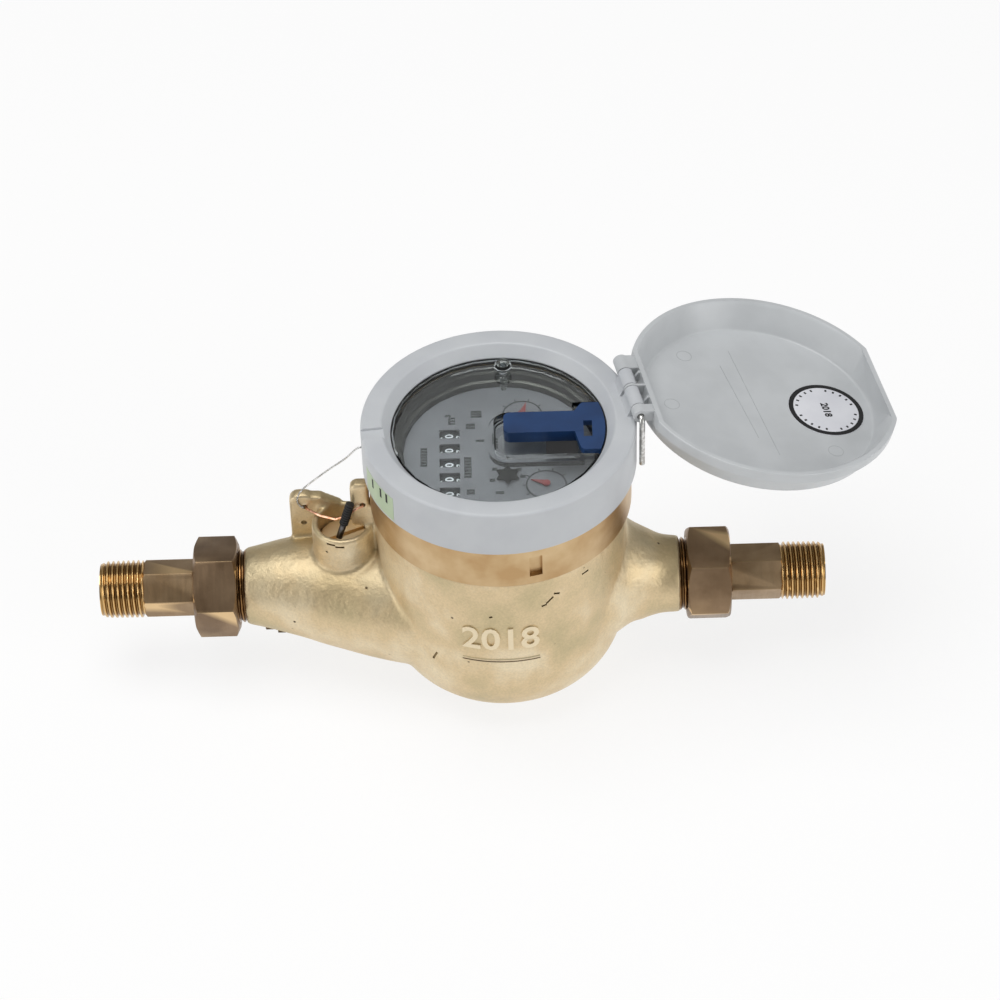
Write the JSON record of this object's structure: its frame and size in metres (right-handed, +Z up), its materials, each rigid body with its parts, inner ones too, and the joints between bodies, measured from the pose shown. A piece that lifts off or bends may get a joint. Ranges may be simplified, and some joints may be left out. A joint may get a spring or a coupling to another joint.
{
  "type": "water meter",
  "caption": "Multi-jet water meter with union tailpieces, a wet register under a clear cover and a hinged round lid standing open.",
  "frame": {"origin": "centre of the foot's flat underside, on the register's axis", "axes": "+X along the pipe to the outlet, +Y to the far side, +Z up along the register's axis"},
  "size_m": [0.2849, 0.1148, 0.1195],
  "materials": {
    "cast_brass": "rough cast",
    "turned_brass": "machined",
    "bronze": "tarnished",
    "grey_plastic": "satin",
    "clear_plastic": "clear",
    "black_rubber": "matte",
    "dark_metal": "dull",
    "white_plastic": "matte",
    "blue_plastic": "satin",
    "red_plastic": "satin",
    "steel": "bright",
    "copper": "bright"
  },
  "bodies": {
    "meter_body": {"body_casting": "cast_brass", "head_ring": "turned_brass", "register_can": "dark_metal", "crystal": "clear_plastic", "crystal_gasket": "black_rubber", "crystal_pin": "clear_plastic", "blue_plug": "blue_plastic", "sensor_block": "black_rubber", "register_frame": "white_plastic", "roller_shaft": "steel", "dial_plate": "white_plastic", "chamber_cup": "white_plastic", "chamber_cover": "white_plastic", "impeller_axle": "steel", "inlet_strainer": "dark_metal", "inlet_gasket": "black_rubber", "outlet_gasket": "black_rubber", "inlet_tailpiece": "turned_brass", "outlet_tailpiece": "turned_brass", "cap_ring": "grey_plastic", "hinge_pin": "steel", "seal_wire": "steel", "copper_wire": "copper", "seal_crimp": "black_rubber"},
    "lid_body": {"lid": "grey_plastic"},
    "impeller_body": {"impeller": "white_plastic"},
    "star_body": {"star_wheel": "dark_metal"},
    "pointer_a_body": {"pointer_a": "red_plastic"},
    "idler_body": {"idler_gear": "white_plastic"},
    "relay_body": {"relay_pinion": "white_plastic"},
    "pointer_b_body": {"pointer_b": "red_plastic"},
    "inlet_nut_body": {"inlet_nut": "bronze"},
    "outlet_nut_body": {"outlet_nut": "bronze"},
    "regulator_body": {"regulator_screw": "turned_brass"},
    "roller_1_body": {"number_roller_1": "white_plastic"},
    "roller_2_body": {"number_roller_2": "white_plastic"},
    "roller_3_body": {"number_roller_3": "white_plastic"},
    "roller_4_body": {"number_roller_4": "white_plastic"},
    "roller_5_body": {"number_roller_5": "white_plastic"}
  },
  "joints": [
    {"name": "lid_hinge", "type": "hinge", "parent": "meter_body", "child": "lid_body", "pos_m": [0.04666, 0.00941, 0.1169], "axis": [-0.1977, 0.9803, 0], "range_deg": [-191.3, 0]},
    {"name": "impeller_spin", "type": "hinge", "parent": "meter_body", "child": "impeller_body", "pos_m": [0, 0, 0.04], "axis": [0, 0, 1], "continuous": true},
    {"name": "star_spin", "type": "hinge", "parent": "meter_body", "child": "star_body", "pos_m": [0.00272, -0.01302, 0.09], "axis": [0, 0, 1], "continuous": true},
    {"name": "pointer_a_spin", "type": "hinge", "parent": "meter_body", "child": "pointer_a_body", "pos_m": [0.016, -0.01744, 0.09], "axis": [0, 0, 1], "continuous": true},
    {"name": "idler_spin", "type": "hinge", "parent": "meter_body", "child": "idler_body", "pos_m": [0.0171, -0.00348, 0.09], "axis": [0, 0, 1], "continuous": true},
    {"name": "relay_spin", "type": "hinge", "parent": "meter_body", "child": "relay_body", "pos_m": [0.01197, 0.00954, 0.09], "axis": [0, 0, 1], "continuous": true},
    {"name": "pointer_b_spin", "type": "hinge", "parent": "meter_body", "child": "pointer_b_body", "pos_m": [0.00838, 0.01866, 0.09], "axis": [0, 0, 1], "continuous": true},
    {"name": "roller_1_spin", "type": "hinge", "parent": "meter_body", "child": "roller_1_body", "pos_m": [-0.0174, 0.0096, 0.0896], "axis": [0, 1, 0], "continuous": true},
    {"name": "roller_2_spin", "type": "hinge", "parent": "meter_body", "child": "roller_2_body", "pos_m": [-0.0174, 0.00225, 0.0896], "axis": [0, 1, 0], "continuous": true},
    {"name": "roller_3_spin", "type": "hinge", "parent": "meter_body", "child": "roller_3_body", "pos_m": [-0.0174, -0.0051, 0.0896], "axis": [0, 1, 0], "continuous": true},
    {"name": "roller_4_spin", "type": "hinge", "parent": "meter_body", "child": "roller_4_body", "pos_m": [-0.0174, -0.01245, 0.0896], "axis": [0, 1, 0], "continuous": true},
    {"name": "roller_5_spin", "type": "hinge", "parent": "meter_body", "child": "roller_5_body", "pos_m": [-0.0174, -0.0198, 0.0896], "axis": [0, 1, 0], "continuous": true},
    {"name": "inlet_nut_turn", "type": "hinge", "parent": "meter_body", "child": "inlet_nut_body", "pos_m": [-0.1033, 0, 0.0364], "axis": [1, 0, 0], "continuous": true},
    {"name": "outlet_nut_turn", "type": "hinge", "parent": "meter_body", "child": "outlet_nut_body", "pos_m": [0.0738, 0, 0.0364], "axis": [1, 0, 0], "continuous": true},
    {"name": "regulator_turn", "type": "hinge", "parent": "meter_body", "child": "regulator_body", "pos_m": [-0.0565, 0, 0.0593], "axis": [0, 0, 1], "continuous": true}
  ],
  "couplings": [
    {"joint": "star_spin", "follows": "impeller_spin", "ratio": -0.46154},
    {"joint": "pointer_a_spin", "follows": "impeller_spin", "ratio": 0.30769},
    {"joint": "idler_spin", "follows": "impeller_spin", "ratio": -0.13187},
    {"joint": "relay_spin", "follows": "impeller_spin", "ratio": 0.30769},
    {"joint": "pointer_b_spin", "follows": "impeller_spin", "ratio": -0.23077},
    {"joint": "roller_1_spin", "follows": "impeller_spin", "ratio": -0.01},
    {"joint": "roller_2_spin", "follows": "impeller_spin", "ratio": -0.001},
    {"joint": "roller_3_spin", "follows": "impeller_spin", "ratio": -0.0001},
    {"joint": "roller_4_spin", "follows": "impeller_spin", "ratio": -0.00001},
    {"joint": "roller_5_spin", "follows": "impeller_spin", "ratio": -0.000001}
  ]
}
